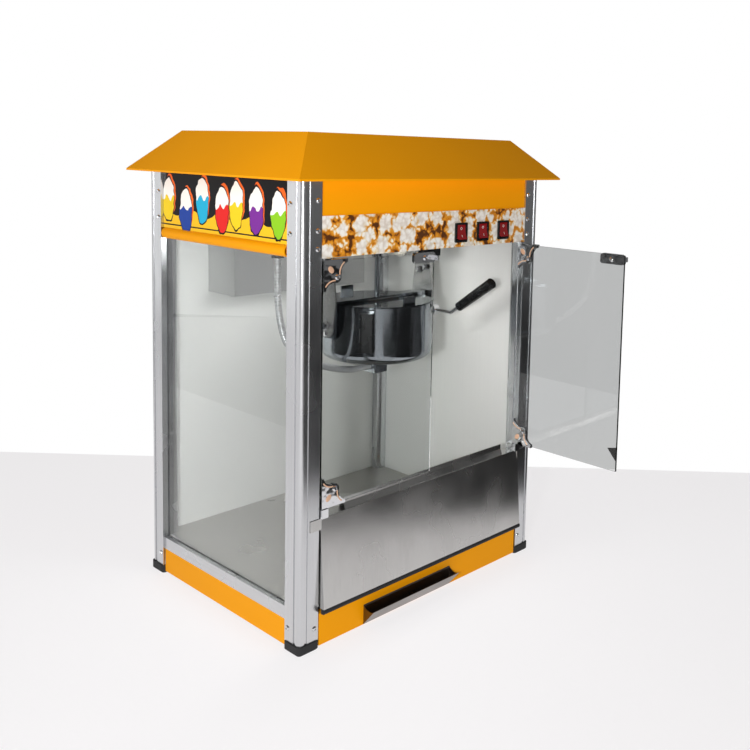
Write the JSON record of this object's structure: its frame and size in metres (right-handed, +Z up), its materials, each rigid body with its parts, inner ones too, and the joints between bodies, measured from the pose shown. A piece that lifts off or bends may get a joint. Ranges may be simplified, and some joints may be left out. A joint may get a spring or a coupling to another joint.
{
  "type": "tabletop popcorn machine",
  "caption": "Tabletop popcorn machine: hipped roof on posts, glazed cabinet with a pair of glass doors, tipping kettle with stirrer and half lids, rocker switches and a crumb drawer.",
  "frame": {"origin": "on the counter, in the middle of the footprint of the whole machine with its right door standing open; the middle of the cabinet is 95.5 mm behind it", "axes": "+X to the right seen from the front, +Y towards the back, +Z up"},
  "size_m": [0.584, 0.669, 0.769],
  "materials": {
    "aluminium_posts": "satin anodised extrusion",
    "orange_paint": "semi-gloss powder coat",
    "stainless_sheet": "brushed stainless sheet",
    "polished_steel": "polished stainless",
    "plated_fittings": "bright plating",
    "black_rubber": "matt rubber",
    "black_moulding": "satin black moulding",
    "red_rocker": "translucent red",
    "printed_strip": "printed film",
    "printed_sign": "printed film",
    "clear_glass": "polished float glass",
    "lamp_glass": "frosted bulb",
    "motor_casing": "dark enamel",
    "conduit_metal": "ribbed bare metal"
  },
  "bodies": {
    "cabinet": {"back_panel": "stainless_sheet", "base_back": "orange_paint", "base_side_left": "orange_paint", "base_side_right": "orange_paint", "cable_inlet": "black_moulding", "ceiling_plate": "stainless_sheet", "conduit": "conduit_metal", "conduit_gland": "plated_fittings", "deck": "stainless_sheet", "door_catch": "black_moulding", "door_sill": "stainless_sheet", "drawer_runners": "stainless_sheet", "fascia_back": "orange_paint", "fascia_front": "orange_paint", "foot_caps": "black_rubber", "front_panel": "stainless_sheet", "front_strip": "printed_strip", "gear_motor": "motor_casing", "kettle_hangers": "stainless_sheet", "lamp_bulb": "lamp_glass", "lamp_socket": "black_moulding", "motor_box": "stainless_sheet", "panel_trim": "black_rubber", "pivot_blocks": "plated_fittings", "post_back_left": "aluminium_posts", "post_back_right": "aluminium_posts", "post_front_left": "aluminium_posts", "post_front_right": "aluminium_posts", "roof": "orange_paint", "side_fascia_left": "orange_paint", "side_fascia_right": "orange_paint", "side_glass_left": "clear_glass", "side_panel_right": "stainless_sheet", "side_rail_left": "aluminium_posts", "side_rail_right": "aluminium_posts", "side_sign_left": "printed_sign", "side_sign_right": "printed_sign", "switch_bezels": "black_moulding"},
    "door_left": {"door_glass_left": "clear_glass", "door_hinges_left": "plated_fittings", "door_clip_left": "plated_fittings"},
    "door_right": {"door_glass_right": "clear_glass", "door_hinges_right": "plated_fittings", "door_clip_right": "plated_fittings"},
    "drawer": {"drawer_front": "orange_paint", "drawer_tray": "stainless_sheet", "drawer_pull": "stainless_sheet"},
    "switch_light": {"rocker_light": "red_rocker"},
    "switch_motor": {"rocker_motor": "red_rocker"},
    "switch_heat": {"rocker_heat": "red_rocker"},
    "kettle": {"kettle_pot": "polished_steel", "heater_base": "polished_steel", "kettle_yoke": "polished_steel", "kettle_grip": "black_moulding", "dump_rod": "plated_fittings", "dump_grip": "black_moulding"},
    "lid_front": {"kettle_lid_front": "polished_steel"},
    "lid_back": {"kettle_lid_back": "polished_steel"},
    "stirrer": {"stirrer": "polished_steel"},
    "drive": {"drive_shaft": "polished_steel"}
  },
  "joints": [
    {"name": "door_left_swing", "type": "hinge", "parent": "cabinet", "child": "door_left", "pos_m": [-0.2225, -0.1135, 0.4], "axis": [0, 0, 1], "range_deg": [-110, 0]},
    {"name": "door_right_swing", "type": "hinge", "parent": "cabinet", "child": "door_right", "pos_m": [0.2225, -0.1135, 0.4], "axis": [0, 0, 1], "range_deg": [-90, 20]},
    {"name": "drawer_slide", "type": "slide", "parent": "cabinet", "child": "drawer", "axis": [0, -1, 0], "range_m": [0, 0.25]},
    {"name": "switch_light_rock", "type": "hinge", "parent": "cabinet", "child": "switch_light", "pos_m": [0.062, -0.113, 0.612], "axis": [1, 0, 0], "range_deg": [0, 22]},
    {"name": "switch_motor_rock", "type": "hinge", "parent": "cabinet", "child": "switch_motor", "pos_m": [0.116, -0.113, 0.612], "axis": [1, 0, 0], "range_deg": [0, 22]},
    {"name": "switch_heat_rock", "type": "hinge", "parent": "cabinet", "child": "switch_heat", "pos_m": [0.17, -0.113, 0.612], "axis": [1, 0, 0], "range_deg": [0, 22]},
    {"name": "kettle_tilt", "type": "hinge", "parent": "cabinet", "child": "kettle", "pos_m": [0.036, 0.0655, 0.445], "axis": [1, 0, 0], "range_deg": [0, 110], "deforming": ["conduit"]},
    {"name": "lid_front_flip", "type": "hinge", "parent": "kettle", "child": "lid_front", "pos_m": [0.036, 0.049, 0.48195], "axis": [-1, 0, 0], "range_deg": [0, 80]},
    {"name": "lid_back_flip", "type": "hinge", "parent": "kettle", "child": "lid_back", "pos_m": [0.036, 0.082, 0.48195], "axis": [1, 0, 0], "range_deg": [0, 80]},
    {"name": "stirrer_spin", "type": "hinge", "parent": "kettle", "child": "stirrer", "pos_m": [0.036, 0.0655, 0.445], "axis": [0, 0, 1], "continuous": true},
    {"name": "drive_spin", "type": "hinge", "parent": "cabinet", "child": "drive", "pos_m": [0.036, 0.0655, 0.445], "axis": [0, 0, 1], "continuous": true}
  ],
  "couplings": [
    {"joint": "drive_spin", "follows": "stirrer_spin", "ratio": 1}
  ]
}
